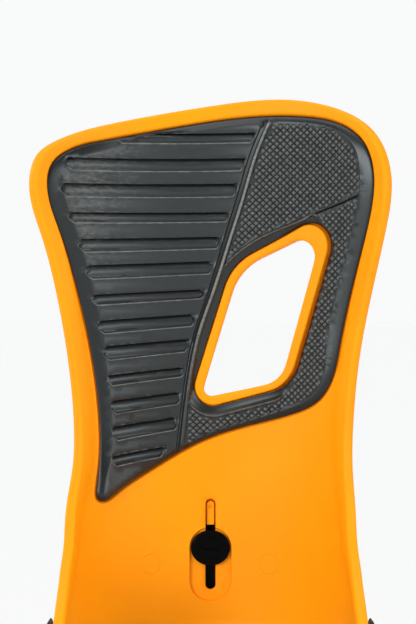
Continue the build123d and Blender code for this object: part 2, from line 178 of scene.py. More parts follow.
def rounded(corners, step=1.4):
    """Closed outline of a polygon whose corners are (s, z, radius)."""
    points = [np.array(c[:2], float) for c in corners]
    found = []
    for i, (_, _, radius) in enumerate(corners):
        corner = points[i]
        back, ahead = unit(points[i - 1] - corner), unit(points[(i + 1) % len(points)] - corner)
        half = math.acos(np.clip(back @ ahead, -1, 1)) / 2
        start = corner + back * radius / math.tan(half)
        end = corner + ahead * radius / math.tan(half)
        centre = corner + unit(back + ahead) * radius / math.sin(half)
        a0 = math.atan2(*(start - centre)[::-1])
        turn = (math.atan2(*(end - centre)[::-1]) - a0 + math.pi) % (2 * math.pi) - math.pi
        count = max(3, round(abs(turn) * radius / min(step, 0.6 * radius)))
        angles = a0 + turn * np.arange(count + 1) / count
        arc = centre + radius * np.column_stack((np.cos(angles), np.sin(angles)))
        if found:
            found.append(between(found[-1][-1], arc[0], step))
        found.append(arc)
    found.append(between(found[-1][-1], found[0][0], step))
    return np.vstack([f for f in found if len(f)])


def rounded_box(s_low, s_high, z_low, z_high, radius, step=1.4):
    """Closed outline of a box with rounded corners."""
    return rounded([(s_high, z_high, radius), (s_low, z_high, radius), (s_low, z_low, radius),
                    (s_high, z_low, radius)], step)


def between(a, b, step):
    """Points on a straight line between two ends, without the ends."""
    count = max(1, round(np.linalg.norm(b - a) / step))
    t = np.arange(1, count)[:, None] / count
    return a + (b - a) * t


def circle(centre, radius, count):
    angles = np.arange(count) * 2 * math.pi / count
    return np.array(centre) + radius * np.column_stack((np.cos(angles), np.sin(angles)))


def counter_clockwise(loop):
    x, y = loop.T
    area = np.sum(x * np.roll(y, -1) - y * np.roll(x, -1))
    return loop if area > 0 else loop[::-1]


def offset(loop, distance):
    """A closed loop moved inwards (outwards below 0), without the points that come too near."""
    loop = counter_clockwise(loop)
    along = unit(np.roll(loop, -1, 0) - np.roll(loop, 1, 0))
    moved = loop + distance * np.column_stack((-along[:, 1], along[:, 0]))
    return moved[away(moved, loop) > abs(distance) * 0.97]


def away(points, line, closed=True):
    """Distance of each point from a polyline."""
    start = line if closed else line[:-1]
    step = (np.roll(line, -1, 0) - line) if closed else np.diff(line, axis=0)
    length2 = np.maximum((step ** 2).sum(1), 1e-12)
    found = np.empty(len(points))
    for i in range(0, len(points), 2000):
        rel = points[i:i + 2000, None] - start
        t = np.clip((rel * step).sum(2) / length2, 0, 1)
        found[i:i + 2000] = np.sqrt(((rel - t[..., None] * step) ** 2).sum(2).min(1))
    return found


def inside(points, loop):
    """Whether each point is inside a closed loop."""
    x, y = points[:, 0, None], points[:, 1, None]
    x0, y0 = loop.T
    x1, y1 = np.roll(loop, -1, 0).T
    with np.errstate(divide="ignore", invalid="ignore"):
        crossing = ((y0 > y) != (y1 > y)) & (x < (x1 - x0) * (y - y0) / (y1 - y0) + x0)
    return crossing.sum(1) % 2 == 1


def depth(points, loop):
    """Distance from a closed loop, above 0 inside it."""
    return np.where(inside(points, loop), 1, -1) * away(points, loop)


def stretches(line, keep):
    """Open pieces of a line where keep is true."""
    found, run = [], []
    for point, wanted in zip(line, keep):
        if wanted:
            run.append(point)
        if len(run) > 1 and not wanted:
            found.append((np.array(run), False))
        if not wanted:
            run = []
    return found + ([(np.array(run), False)] if len(run) > 1 else [])


# ---------------------------------------------------------------- meshes from the (s, z) plane
def triangulate(loops, lines, spots, spacing):
    """Triangles inside the first loop and outside the others, along all of the lines.
    spots are (points, edges) of a fine pattern. Returns points, triangles and each loop's ids."""
    points, edges, loop_ids = [], [], []
    for line, closed in [(l, True) for l in loops] + list(lines):
        first = sum(len(p) for p in points)
        ids = np.arange(first, first + len(line))
        ends = np.column_stack((ids, np.roll(ids, -1)))
        edges.extend((ends if closed else ends[:-1]).tolist())
        points.append(line)
        if len(loop_ids) < len(loops):
            loop_ids.append(ids)
    for more, joined in spots:
        first = sum(len(p) for p in points)
        edges.extend((np.array(joined, int).reshape(-1, 2) + first).tolist())
        points.append(more)
    fixed = np.vstack(points)
    near = kdtree.KDTree(len(fixed))
    for i, p in enumerate(fixed):
        near.insert((p[0], p[1], 0), i)
    near.balance()
    low, high = fixed.min(0), fixed.max(0)
    rows = np.arange(low[1], high[1], spacing * 0.866)
    grid = np.array([(x + (j % 2) * spacing / 2, y) for j, y in enumerate(rows)
                     for x in np.arange(low[0], high[0], spacing)])
    keep = inside(grid, loops[0])
    for hole in loops[1:]:
        keep &= ~inside(grid, hole)
    grid = grid[keep]
    grid = [p for p in grid if near.find((p[0], p[1], 0))[2] > spacing * 0.6]
    every = np.vstack([fixed] + ([np.array(grid)] if len(grid) else []))
    out, _, faces, origin, _, _ = delaunay_2d_cdt(
        [Vector(p) for p in every], edges, [], 0, 1e-4)
    new_id = {}
    for i, olds in enumerate(origin):
        for old in olds:
            new_id[old] = i
    out = np.array([tuple(p) for p in out])
    faces = np.array(faces)
    middle = out[faces].mean(1)
    keep = inside(middle, loops[0])
    for hole in loops[1:]:
        keep &= ~inside(middle, hole)
    return out, faces[keep], [[new_id[i] for i in ids] for ids in loop_ids]


def solid(name, surface, loops, front, back, lines=(), back_lines=(), spots=(), spacing=2.4,
          back_spacing=3.2, sharp=50, wear_and_sheen_at=None):
    """Closed mesh between two height functions over the same loops. The last argument gives each
    point's share of wear and of painted sheen and highlight."""
    loops = [counter_clockwise(loop) for loop in loops]
    vertices, faces, rims, amounts = [], [], [], []
    for height, extra, pattern, gap in ((front, lines, spots, spacing),
                                        (back, back_lines, (), back_spacing)):
        flat, triangles, ids = triangulate(loops, extra, pattern, gap)
        first = sum(len(v) for v in vertices)
        vertices.append(surface(flat, height(flat)))
        if wear_and_sheen_at:
            amounts.append(wear_and_sheen_at(flat))
        faces.extend((triangles + first).tolist())
        rims.append([[i + first for i in loop] for loop in ids])
    for above, below in zip(*rims):
        count = len(above)
        for i in range(count):
            j = (i + 1) % count
            if above[i] != above[j]:
                faces.append([above[i], above[j], below[j], below[i]])
    return mesh_object(name, np.vstack(vertices), faces, sharp,
                       np.concatenate(amounts) if wear_and_sheen_at else None)


def mesh_object(name, vertices, faces, sharp, wear_sheen_share=None):
    """Blender object from points in millimetres, with its normals outwards."""
    mesh = bpy.data.meshes.new(name)
    mesh.from_pydata((vertices * MM).tolist(), [], faces)
    # Stored per point: the share of wear and of painted sheen and highlight that the foam's
    # material reads.
    if wear_sheen_share is not None:
        mesh.attributes.new("wear_sheen_share", "FLOAT", "POINT").data.foreach_set("value", wear_sheen_share)
    work = bmesh.new()
    work.from_mesh(mesh)
    bmesh.ops.remove_doubles(work, verts=work.verts, dist=1e-6)
    loose = [v for v in work.verts if not v.link_faces]
    bmesh.ops.delete(work, geom=loose, context="VERTS")
    bmesh.ops.recalc_face_normals(work, faces=work.faces)
    work.to_mesh(mesh)
    work.free()
    mesh.shade_smooth()
    mesh.set_sharp_from_angle(angle=math.radians(sharp))
    made = bpy.data.objects.new(name, mesh)
    bpy.context.scene.collection.objects.link(made)
    return made


# ---------------------------------------------------------------- the shell's surface
def wrap_radius(z):
    return WRAP_LOW + (WRAP_HIGH - WRAP_LOW) * ramp(z, WRAP_Z_LOW, WRAP_Z_HIGH)


def spine_y(z):
    u = (z - PIVOT_Z) / SPINE_HEIGHT
    return SPINE_Y - SPINE_LEAN * u + SPINE_FLARE * u * u


def shell_surface(flat, h):
    """Points in space of (s, z) at height h over the shell's front face."""
    s, z = flat.T
    r = wrap_radius(z)
    bend = np.clip(s / r, -WRAP_ANGLE, WRAP_ANGLE)
    beyond = s - bend * r
    x = (r - h) * np.sin(bend) + beyond * math.cos(WRAP_ANGLE)
    y = spine_y(z) - r + (r - h) * np.cos(bend) - np.abs(beyond) * math.sin(WRAP_ANGLE)
    return np.column_stack((x, y, z))


def unrolled(y, z):
    """s of the point of the right wing that is at y, z in the side view."""
    r = wrap_radius(z)
    level = (y - spine_y(z) + r) / r
    if level > math.cos(WRAP_ANGLE):
        return r * math.acos(min(level, 1))
    return r * WRAP_ANGLE + (math.cos(WRAP_ANGLE) - level) * r / math.sin(WRAP_ANGLE)


def shell_outline():
    """Whole outline of the shell: the top, and both wings down to the heel edge."""
    right = [(unrolled(y, z), z) for y, z in WING]
    left = [(-s, z) for s, z in reversed(right)]
    return spline(OUTLINE + right + [(0, HEEL_EDGE_Z)] + left, 1.7, closed=True)


def edge_drop(distance, radius):
    """How far a rounded edge lies below its face."""
    t = np.clip(1 - distance / radius, 0, 1)
    return radius * (1 - np.sqrt(1 - t * t))


def edge_rings(loop, radius, sign):
    """Rings that carry a rounded edge's shape. sign is 1 inside a loop, -1 round a hole."""
    return [(offset(loop, sign * radius * share), True) for share in (0.1, 0.35, 0.7, 1.05)]


def across_window(s, z):
    """s as if the window's sides were upright."""
    return s - WINDOW_LEAN * (z - 200)


shell_loop = shell_outline()
pad_loop = spline(PAD, 1.5, closed=True)
window_loop = rounded(WINDOW)
lip_loop = rounded(WINDOW_LIP)
pad_hole_loop = offset(lip_loop, -0.6)
lip_loop[:, 0] -= LIP_STEP * ramp(across_window(*lip_loop.T), 22, 42)
slot_loop = rounded_box(-SLOT_RADIUS, SLOT_RADIUS, SLOT_LOW - SLOT_RADIUS,
                        SLOT_HIGH + SLOT_RADIUS, SLOT_CORNER, 0.9)
pivot_s = unrolled(0, PIVOT_Z)
bores = [np.array([(side * unrolled(y, z), z) for y, z in circle((0, PIVOT_Z), PIVOT_BORE, 28)])
         for side in (-1, 1)]


# ---------------------------------------------------------------- highback shell
def recess_depth(p):
    """Distance inside the adjuster's recess, above 0 inside."""
    z = np.clip(p[:, 1], BOLT_Z - RECESS_TRAVEL, BOLT_Z)
    return RECESS_RADIUS - np.hypot(p[:, 0], p[:, 1] - z)


def shell_front(p):
    edge = away(p, shell_loop)
    outside_pad = -depth(p, pad_loop)
    low = 1 - ramp(p[:, 1], 110, 150)
    rim = RIM * (1 - ramp(edge, RIM_WIDTH - 1.4 * low, RIM_WIDTH + 2.2 - low))
    roll = np.clip((outside_pad - 0.1) / 1.4, 0, 1)
    rim *= np.sqrt(1 - (1 - roll) ** 2)
    h = rim - 0.8 * (1 - ramp(np.abs(outside_pad), 0.3, 0.7))
    recess = recess_depth(p)
    floor = -(RECESS_DEPTH + p[:, 0] ** 2 / (2 * wrap_radius(p[:, 1])))
    h = h + floor * ramp(recess, *RECESS_WALL)
    in_lip = depth(p, lip_loop)
    lip = LIP - edge_drop(in_lip + 0.1, 1.0) - LIP_SET * (in_lip < 0.05)
    h = np.where(in_lip > -0.1, lip, h)
    h = h - GAP_DEPTH * (in_lip < -0.1) * ramp(in_lip, -2.0, -1.5)
    for side in (-1, 1):
        from_pivot = np.hypot(p[:, 0] - side * pivot_s, p[:, 1] - PIVOT_Z)
        pad = PIVOT_PAD_HEIGHT + PIVOT_PAD_SLOPE * (side * p[:, 0] - pivot_s)
        pad *= 1 - ramp(from_pivot, PIVOT_PAD, PIVOT_PAD_EDGE)
        h = np.where(from_pivot < PIVOT_PAD_EDGE, np.maximum(h, pad), h)
    for s, z in RING_MARKS:
        ring = np.abs(np.hypot(p[:, 0] - s, p[:, 1] - z) - RING_MARK_RADIUS)
        h = h - RING_MARK_DEPTH * (1 - ramp(ring, 0.0, 0.35))
    h = h - edge_drop(edge, 1.5) - edge_drop(away(p, window_loop), 1.1)
    return h - edge_drop(away(p, slot_loop), 0.35)


def shell_back(p):
    """Back of the shell: a thinner panel inside a border, with a boss round each stud."""
    edge, to_window = away(p, shell_loop), away(p, window_loop)
    from_stud = np.min([np.hypot(p[:, 0] - s, p[:, 1] - z) for s, z in STUDS], axis=0)
    panel = ramp(edge, 4.6, 5.8) * ramp(to_window, 3.0, 4.2) * ramp(from_stud, *STUD_BOSS)
    panel *= ramp(p[:, 1], PANEL_Z, PANEL_Z + 2)
    h = -WALL + BACK_SINK * panel + edge_drop(edge, 1.1) + edge_drop(to_window, 0.9)
    return h + edge_drop(away(p, slot_loop), 0.35)


def make_shell():
    lines = edge_rings(shell_loop, 1.5, 1) + edge_rings(window_loop, 1.1, -1)
    lines += [(offset(slot_loop, -0.35), True)]
    lines += [(offset(shell_loop, d), True) for d in (3.2, 5.0)]
    lines += [(offset(pad_loop, -d), True) for d in (-0.7, -0.3, 0.3, 0.7, 1.1, 1.7)]
    lines += [(offset(lip_loop, d), True)
              for d in (-2.0, -1.5, -0.8, -0.16, 0.0, 0.1, 0.35, 0.7, 1.05)]
    for d in (-0.8, RECESS_WALL[0], -0.2, 0.0, RECESS_WALL[1], 0.8):
        r = RECESS_RADIUS - d
        low, high = BOLT_Z - RECESS_TRAVEL - r, BOLT_Z + r
        lines.append((rounded_box(-r, r, low, high, r - 0.02, 1.3), True))
    for side in (-1, 1):
        for r in (7.5, PIVOT_PAD, 11.1, PIVOT_PAD_EDGE):
            lines.append((circle((side * pivot_s, PIVOT_Z), r, 44), True))
    for mark in RING_MARKS:
        for r in (3.5, 3.95, RING_MARK_RADIUS, 4.65, 5.1):
            lines.append((circle(mark, r, 40), True))
    back_lines = edge_rings(shell_loop, 1.1, 1) + edge_rings(window_loop, 0.9, -1)
    back_lines += [(offset(shell_loop, d), True) for d in (4.6, 5.8)]
    back_lines += [(offset(window_loop, -d), True) for d in (3.0, 4.2)]
    back_lines += [(circle(stud, r, 28), True) for stud in STUDS for r in STUD_BOSS]
    for z in (PANEL_Z, PANEL_Z + 2):
        s = np.arange(-58, 58.1, 2.9)
        back_lines.append((np.column_stack((s, np.full(len(s), z))), False))
    made = solid("shell", shell_surface, [shell_loop, window_loop, slot_loop] + bores,
                 shell_front, shell_back, lines, back_lines)
    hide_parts("highback_shell")
    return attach(made, "highback")


# ---------------------------------------------------------------- calf pad
GROOVE_TOP = 279.0
GROOVES = [(3.9, 6.7), (5.0, 5.6), (5.3, 6.7)]    # height of a groove, and of the rib below it
GROOVE_COUNT = 13
GRAIN_X, GRAIN_Z = 3.05, 2.76          # size of a grain's diamond
GRAIN_SINK = 0.55       # the grained face lies this far below the ribs
GRAIN_HEIGHT = 0.72
GRAIN_FOOT = 0.12       # a diamond's corners are sunk this far into the foam's face
BORDER_TOP = 2.45       # height of the border where the ribs and the grain begin
WINDOW_EDGE = 1.5       # height of the band round the window, at the window
CREASE_TURN = 43.0      # the crease is a cut to the right of here, and a thin ridge to the left
LINE_START = -25        # s where a groove's lines have the heights that GROOVES gives
BEAD_OUT = 0.35         # the bead's crest is this far outside its groove
# Shares of a groove's height: three in the thin slot at its foot, and the start, middle and end
# of the wall of the deep slot at its top
GROOVE_LEVELS = (0.03, 0.12, 0.2, 0.75, 0.88, 0.96)
ridge_line = spline(RIDGE, 2.0)
crease_line = spline(CREASE, 1.6)


def ridge_s(z):
    """s of the ridge at height z."""
    return np.interp(z, ridge_line[::-1, 1], ridge_line[::-1, 0])


def pad_left(z):
    """s of the pad's left edge at height z."""
    part = pad_loop[(pad_loop[:, 0] < -45) & (pad_loop[:, 1] > 131) & (pad_loop[:, 1] < 264)]
    part = part[np.argsort(part[:, 1])]
    return np.interp(z, part[:, 1], part[:, 0])


def climb(z, s):
    """How far a rib's line that starts at height z has climbed at s."""
    return (0.012 + 0.12 * np.clip((245 - z) / 98, 0, 1)) * (s - LINE_START)


def channel_width(z):
    """How far left of the ridge's centre its channel reaches."""
    return 2.0 + 0.7 * ramp(z, 205, 245)


def grooves():
    """Outlines of the grooves between the ribs, each with its top and bottom line's height."""
    found, top = [], GROOVE_TOP
    for k in range(GROOVE_COUNT):
        height, rib = GROOVES[k % 3]
        bottom = top - height
        left_top = left_bottom = pad_left(bottom) + 4.6 + 0.7 * ramp(bottom, 190, 230)
        right_top = ridge_s(top) - channel_width(top) - 1.1
        right_bottom = ridge_s(bottom) - channel_width(bottom) - 0.9
        if k == 0:
            left_top, left_bottom = -21, -41
        if k == 1:
            left_top = left_bottom = -65.5
        if k == GROOVE_COUNT - 1:
            right_top, right_bottom = right_top - 2.5, right_bottom - 5.5
        chamfer = min(2.0, height * 0.42)
        low_left = bottom + climb(bottom, left_bottom)
        low_right = bottom + climb(bottom, right_bottom)
        corners = [
            (left_top, top + climb(top, left_top), min(1.9, height * 0.4)),
            (left_bottom, low_left + chamfer, 0.5),
            (left_bottom + chamfer * 1.3, low_left, 0.5),
            (right_bottom - chamfer * 0.6, low_right, 0.4),
            (right_bottom, low_right + chamfer * 0.8, 0.4),
            (right_top, top + climb(top, right_top), 0.5),
        ]
        found.append((rounded(corners, 2.0), top, bottom))
        top = bottom - rib
    return found


def slot_edges(shape, top, bottom):
    """Lines along a groove's two slots."""
    found = []
    for share in GROOVE_LEVELS[1:]:
        s = np.arange(shape[:, 0].min() + 0.6, shape[:, 0].max() - 0.4, 2.2)
        line = np.column_stack((s, bottom + share * (top - bottom) + climb(top, s)))
        line = line[depth(line, shape) > 0.3]
        if len(line) > 1:
            found.append((line, False))
    return found


groove_shapes = grooves()


def pad_foot(p):
    """1 along the pad's slanting lower edge, 0 away from it."""
    return (1 - ramp(p[:, 0], 10, 38)) * (1 - ramp(p[:, 1], 180, 200))


def border_width(p):
    """Width of the pad's rolled border at each point."""
    s, z = p.T
    right = ramp(s, 40, 60) * ramp(z, 170, 195) * (1 - ramp(z, 262, 280))
    left = ramp(-s, 38, 52) * ramp(z, 132, 150) * (1 - 0.7 * ramp(z, 256, 268))
    return 2.6 + 2.8 * right + 3.2 * left - 0.9 * pad_foot(p)


def border_line(more):
    """Line where the rolled border ends, plus a little more."""
    loop = counter_clockwise(pad_loop)
    along = unit(np.roll(loop, -1, 0) - np.roll(loop, 1, 0))
    width = border_width(loop) + more
    ring = loop + width[:, None] * np.column_stack((-along[:, 1], along[:, 0]))
    return ring[away(ring, loop) > width * 0.96]


def window_border(p):
    """Width of the smooth border round the window at each point: narrow on its right side."""
    s, z = p.T
    return 4.0 - 3.1 * ramp(across_window(s, z), 35, 42)


def make_band_loop():
    """Outer edge of the smooth band round the window. Its top follows the crease line."""
    loop = counter_clockwise(pad_hole_loop)
    along = unit(np.roll(loop, -1, 0) - np.roll(loop, 1, 0))
    ring = loop + window_border(loop)[:, None] * np.column_stack((along[:, 1], -along[:, 0]))
    top = crease_line[(crease_line[:, 0] < CREASE_TURN) & (crease_line[:, 0] > 2)]
    above = (ring[:, 0] > 0) & (ring[:, 0] < CREASE_TURN + 1) & (ring[:, 1] > 212)
    every = np.vstack((ring[~above], top))
    centre = loop.mean(0)
    every = every[np.argsort(np.arctan2(*(every - centre).T[::-1]))]
    return spline(every[::2], 1.4, closed=True)


band_loop = make_band_loop()


def groove_floor(height):
    """Depth of a groove's floor, by the height over its lower line: a thin slot, a strip that
    falls away gently, and a deep slot under the top line."""
    foot = 0.3 * ramp(height, 0.0, GROOVE_LEVELS[0]) * (1 - ramp(height, *GROOVE_LEVELS[1:3]))
    return 0.6 + foot + 0.5 * height + 1.45 * ramp(height, GROOVE_LEVELS[3], GROOVE_LEVELS[5])


def channel_share(p):
    """1 in the channel between the ribs and the ridge, 0 away from it."""
    s, z = p.T
    u, wide = s - ridge_s(z), channel_width(z)
    return ramp(u, -wide - 0.4, -wide) * (1 - ramp(u, -1.4, -0.9))


def groove_places(p):
    """For each groove with points near it: which they are, how deep they are inside it, how high
    above its lower line, and its height."""
    s, z = p.T
    ribbed = s < ridge_s(z)
    for shape, top, bottom in groove_shapes:
        box = (z > shape[:, 1].min() - 1.5) & (z < shape[:, 1].max() + 1.5) & ribbed
        if box.any():
            q = p[box]
            yield box, depth(q, shape), q[:, 1] - climb(top, q[:, 0]) - bottom, top - bottom


def bead_share(wall, above):
    """1 on the crest of the bead along a groove's lower line, 0 away from it."""
    crest = 1 - ramp(np.abs(wall + BEAD_OUT), 0.1, 0.5)
    return crest * (1 - ramp(above, 0.5, 2.5))


def pad_front(p):
    """Height of the pad over the shell, without its grain."""
    s, z = p.T
    u = s - ridge_s(z)
    edge, gap = away(p, pad_loop), away(p, pad_hole_loop)
    grained = ramp(u, -0.6, 0.6)
    field = PAD_TOP - GRAIN_SINK * grained
    width = border_width(p)
    share = np.clip(edge / width, 0, 1)
    border = PAD_EDGE + (BORDER_TOP - PAD_EDGE) * share ** 0.65
    h = border + (field - border) * ramp(edge - width, 0.0, 0.8)
    # channel between the ribs and the ridge, then the ridge
    along = ramp(edge, 1.2, 2.6)
    h = h - along * 0.8 * channel_share(p)
    crest = np.sqrt(np.clip(1 - (u / 1.15) ** 2, 0, 1))
    h = h + along * np.maximum(PAD_TOP - 0.6 + 1.3 * crest - h, 0) * (crest > 0)
    # grooves, each with a bead along its lower line
    for box, wall, above, height in groove_places(p):
        floor = PAD_TOP - groove_floor(np.clip(above / height, 0, 1))
        sunk = h[box] + (floor - h[box]) * np.clip(wall / 0.16, 0, 1)
        bead = 0.28 * bead_share(wall, above)
        shoulder = 0.4 * (1 - ramp(-wall, 0.0, 1.0)) * ramp(above, 2.0, 3.5)
        h[box] = np.where(wall > 0, np.minimum(h[box], sunk), h[box] + bead - shoulder)
    # band round the window, that ends in a thin ridge
    to_band = away(p, band_loop)
    inner = WINDOW_EDGE + (2.5 - WINDOW_EDGE) * np.sin(gap / (gap + to_band + 1e-6) * math.pi / 2)
    off_ridge = ramp(u, 0.7, 1.3)
    h = np.where(inside(p, band_loop), np.minimum(h, inner + 3 * (1 - off_ridge)), h)
    lift = 1.2 * np.clip(1 - to_band / 0.6, 0, 1)
    lift *= ramp(window_border(p), 1.6, 3.0)
    h = h + lift * off_ridge * ramp(edge, 2.0, 4.0)
    # crease above the window
    crease = away(p, crease_line, closed=False)
    cut = ramp(s, CREASE_TURN - 4, CREASE_TURN + 1) * ramp(edge, 4.8, 5.6)
    return h - 1.3 * np.clip(1 - crease / 0.4, 0, 1) * cut


def pad_wear_and_sheen(p):
    """Share of the foam's lighter, greyer colour at each point: part wear, part painted light and
    shade.
    None on the borders. On the ribs it grows upwards and to the left, a painted sheen. It is most
    along the ridge's crest and the beads, painted highlights.
    """
    s, z = p.T
    u = s - ridge_s(z)
    edge = away(p, pad_loop)
    # Ribs get lighter upwards and towards the left: a painted sheen over a little wear.
    ribs = 0.2 + 0.14 * ramp(z, 150, 235) + 0.26 * ramp(-u, 15, 75)
    found = np.where(u < 0, ribs, 0.42) * ramp(edge - border_width(p), -0.3, 0.8)
    # Nothing in the channel by the ridge, which is painted shade, and little in the band round the
    # window.
    found *= 1 - channel_share(p)
    found = np.where(inside(p, band_loop), 0.12, found)
    # A light line along the ridge's crest, lighter higher up: a painted highlight.
    crest = (1 - ramp(np.abs(u), 0.4, 1.15)) * ramp(edge, 1.2, 2.6)
    crest *= 0.45 + 0.5 * ramp(z, 155, 215)
    # Light lines along the band's outer ridge and along each groove's bead: painted highlights.
    line = (1 - ramp(away(p, band_loop), 0.15, 0.6)) * ramp(window_border(p), 1.6, 3.0)
    line = line * ramp(edge, 3.0, 4.0) * ramp(u, 0.7, 1.3)
    for box, wall, above, _ in groove_places(p):
        line[box] = np.maximum(line[box], bead_share(wall, above))
    return np.maximum(found, np.maximum(crest, 0.9 * line))


def grain():
    """Small raised diamonds of the grained part: points, edges and heights."""
    low, high = pad_loop.min(0), pad_loop.max(0)
    half_x, half_z = GRAIN_X / 2, GRAIN_Z / 2
    centres = np.array([(i * GRAIN_X + (j % 2) * half_x, j * half_z)
                        for j in range(int(low[1] / half_z), int(high[1] / half_z) + 1)
                        for i in range(int(low[0] / GRAIN_X), int(high[0] / GRAIN_X) + 1)])
    ok = inside(centres, pad_loop)
    ok &= away(centres, pad_loop) > border_width(centres) + 1.1 - 0.4 * pad_foot(centres)
    ok &= ~inside(centres, band_loop)
    ok &= away(centres, band_loop) > 0.75 + 0.35 * ramp(window_border(centres), 1.6, 3.0)
    ok &= centres[:, 0] - ridge_s(centres[:, 1]) > 2.0
    ok &= away(centres, crease_line, closed=False) > 1.3
    centres = centres[ok]
    points, heights, edges, known = [], [], [], {}

    def point(x, y, h):
        key = (round(x, 2), round(y, 2))
        if key not in known:
            known[key] = len(points)
            points.append((x, y))
            heights.append(h)
        return known[key]

    ways = ((1, 0), (0, 1), (-1, 0), (0, -1))
    for x, y in centres:
        corners = [point(x + dx * half_x, y + dy * half_z, 0.0) for dx, dy in ways]
        edges += [(corners[k], corners[(k + 1) % 4]) for k in range(4)]
        for dx, dy in ways:
            point(x + dx * half_x * 0.6, y + dy * half_z * 0.6, 0.82 * GRAIN_HEIGHT)
        point(x, y, GRAIN_HEIGHT)
    return np.array(points), edges, np.array(heights)


def make_pad():
    points, edges, heights = grain()
    near = kdtree.KDTree(len(points))
    for i, p in enumerate(points):
        near.insert((p[0], p[1], 0), i)
    near.balance()

    def grain_height(p):
        found = np.zeros(len(p))
        for i, q in enumerate(p):
            _, which, far = near.find((q[0], q[1], 0))
            if far < 0.01:
                found[i] = heights[which] - GRAIN_FOOT
        return found

    def front(p):
        return pad_front(p) + grain_height(p)

    def wear_and_sheen_at(p):
        # Grain tops are lighter: part wear, part painted highlight.
        return pad_wear_and_sheen(p) + 0.35 * np.maximum(grain_height(p), 0) / GRAIN_HEIGHT

    lines = [(offset(pad_loop, d), True) for d in (0.25, 0.7, 1.3)]
    for d in (0.9, 2.0):
        ring = offset(pad_hole_loop, -d)
        free = ring[:, 0] > ridge_s(ring[:, 1]) + 1.5
        lines += stretches(ring, (window_border(ring) > d + 0.5) & free)
    for d in (-0.6, -0.25, 0.0, 0.25, 0.6):
        ring = offset(band_loop, d) if d else band_loop
        free = ring[:, 0] > ridge_s(ring[:, 1]) + 1.5
        lines += stretches(ring, (window_border(ring) > 1.6) & free)
    for more in (-0.05, 0.4, 0.85):
        ring = border_line(more)
        free = np.all([depth(ring, shape) < -0.7 for shape, _, _ in groove_shapes], axis=0)
        lines += stretches(ring, free & (np.abs(ring[:, 0] - ridge_s(ring[:, 1])) > 3.4))
    across = unit(np.gradient(crease_line, axis=0))[:, ::-1] * (-1, 1)
    for d in (-0.4, 0.0, 0.4):
        lines += stretches(crease_line + d * across, crease_line[:, 0] > CREASE_TURN - 3)
    for shape, top, bottom in groove_shapes:
        lines += [(shape, True), (offset(shape, 0.16), True), (offset(shape, -BEAD_OUT), True),
                  (offset(shape, -0.85), True)]
        lines += slot_edges(shape, top, bottom)
    run = ridge_line[1:-1]
    for u in (-1.4, -1.15, -0.8, -0.4, 0.0, 0.4, 0.8, 1.15):
        lines.append((run + np.array((u, 0)), False))
    for u in (-0.4, 0.0):
        lines.append((run + np.column_stack((u - channel_width(run[:, 1]), 0 * run[:, 1])), False))
    made = solid("calf_pad_foam", shell_surface, [pad_loop, pad_hole_loop], front,
                 lambda p: np.full(len(p), PAD_FOOT), lines, (), [(points, edges)], 2.2, 5.0, 60,
                 wear_and_sheen_at)
    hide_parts("calf_pad")
    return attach(made, "highback")


# ---------------------------------------------------------------- heel cup
CUP_RADIUS, CUP_WALL, CUP_CENTRE_Y = 64.2, 4.4, 8.0
CUP_TURN = (CUP_RADIUS + CUP_WALL / 2) * math.pi / 2    # length round the heel to an arm
PIVOT_U = CUP_TURN + CUP_CENTRE_Y                       # u of the pivot
LOBE_TAPER = 8.0
# Corners (u, z, radius) of one half, from the middle of the rear edge to the toe end and back
CUP_HALF = [(53.5, 84, 10), (69, 71.5, 14), (92.5, 65.5, 7), (98.3, 80, 14), (126.3, 80, 14),
            (131.5, 63.2, 10), (164.3, 35, 14), (188.9, 29, 8), (188.9, 0, 2), (73.2, 0, 10),
            (50.7, 13.4, 16)]


def cup_surface(flat, h):
    """Points in space of (u, z), h out of the inner wall. u is the length from the rear."""
    u, z = flat.T
    turn = np.clip(u / CUP_TURN, -1, 1) * math.pi / 2
    beyond = np.maximum(np.abs(u) - CUP_TURN, 0)
    x = (CUP_RADIUS + h) * np.sin(turn)
    y = CUP_CENTRE_Y + (CUP_RADIUS + h) * np.cos(turn) - beyond
    return np.column_stack((x, y, z))


def cup_hole(y, z, radius):
    return [circle((side * (PIVOT_U - y), z), radius, 26) for side in (-1, 1)]


def cup_slot(u, z, width, height, radius):
    a, b = width / 2, height / 2
    return rounded_box(u - a, u + a, z - b, z + b, radius)


